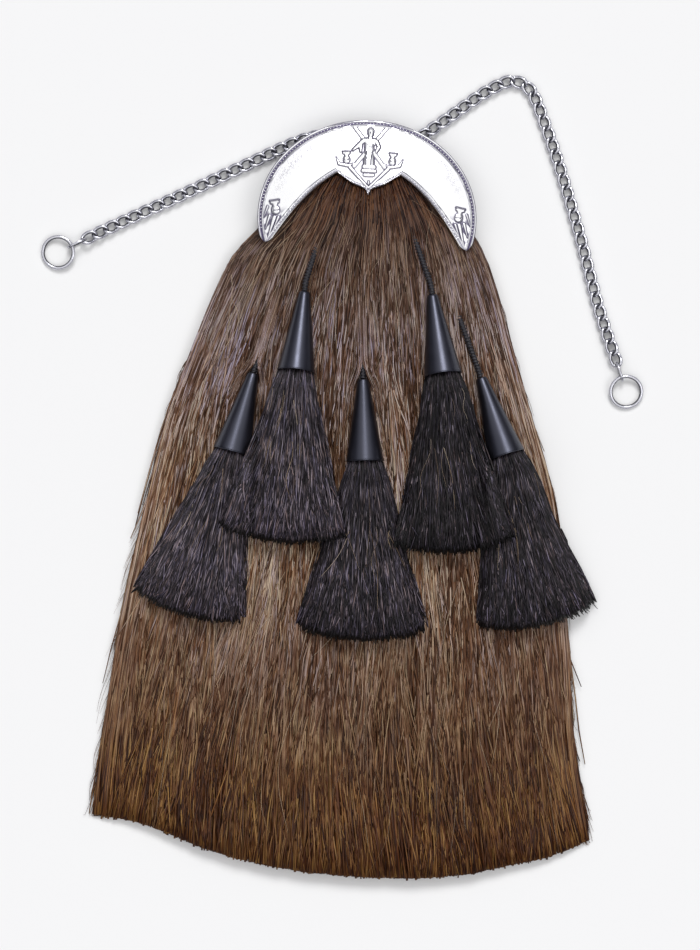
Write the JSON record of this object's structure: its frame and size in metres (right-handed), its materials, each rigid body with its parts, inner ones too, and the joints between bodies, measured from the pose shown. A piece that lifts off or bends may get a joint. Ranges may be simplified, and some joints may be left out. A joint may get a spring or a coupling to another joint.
{
  "type": "sporran pouch",
  "caption": "Dress pouch with a long horsehair front under a domed crescent metal top, black hair tassels on cords, and a curb chain ending in rings for a belt strap.",
  "frame": {"origin": "middle of the pouch's flat leather back, on the table the part lies on", "axes": "+X to the right seen from the front, +Y up towards the metal top, +Z out of the hair front"},
  "size_m": [0.4146, 0.5518, 0.0511],
  "materials": {
    "pouch_leather": "smooth dark brown leather",
    "brown_horsehair": "long combed horsehair",
    "black_horsehair": "combed black horsehair",
    "black_cup": "satin black",
    "black_cord": "wrapped cord",
    "chromed_metal": "polished"
  },
  "bodies": {
    "root": {"pouch_bag": "pouch_leather", "hair_skirt": "brown_horsehair", "cantle": "chromed_metal", "tassel_cone_left": "black_cup", "tassel_hair_left": "black_horsehair", "tassel_cord_left": "black_cord", "tassel_cone_right": "black_cup", "tassel_hair_right": "black_horsehair", "tassel_cord_right": "black_cord", "tassel_cone_middle": "black_cup", "tassel_hair_middle": "black_horsehair", "tassel_cord_middle": "black_cord", "tassel_cone_outer_left": "black_cup", "tassel_hair_outer_left": "black_horsehair", "tassel_cord_outer_left": "black_cord", "tassel_cone_outer_right": "black_cup", "tassel_hair_outer_right": "black_horsehair", "tassel_cord_outer_right": "black_cord", "chain_left": "chromed_metal", "chain_behind": "chromed_metal", "chain_rise": "chromed_metal", "chain_fall": "chromed_metal", "jump_ring_left": "chromed_metal", "jump_ring_right": "chromed_metal", "end_ring_left": "chromed_metal", "end_ring_right": "chromed_metal"}
  },
  "joints": []
}
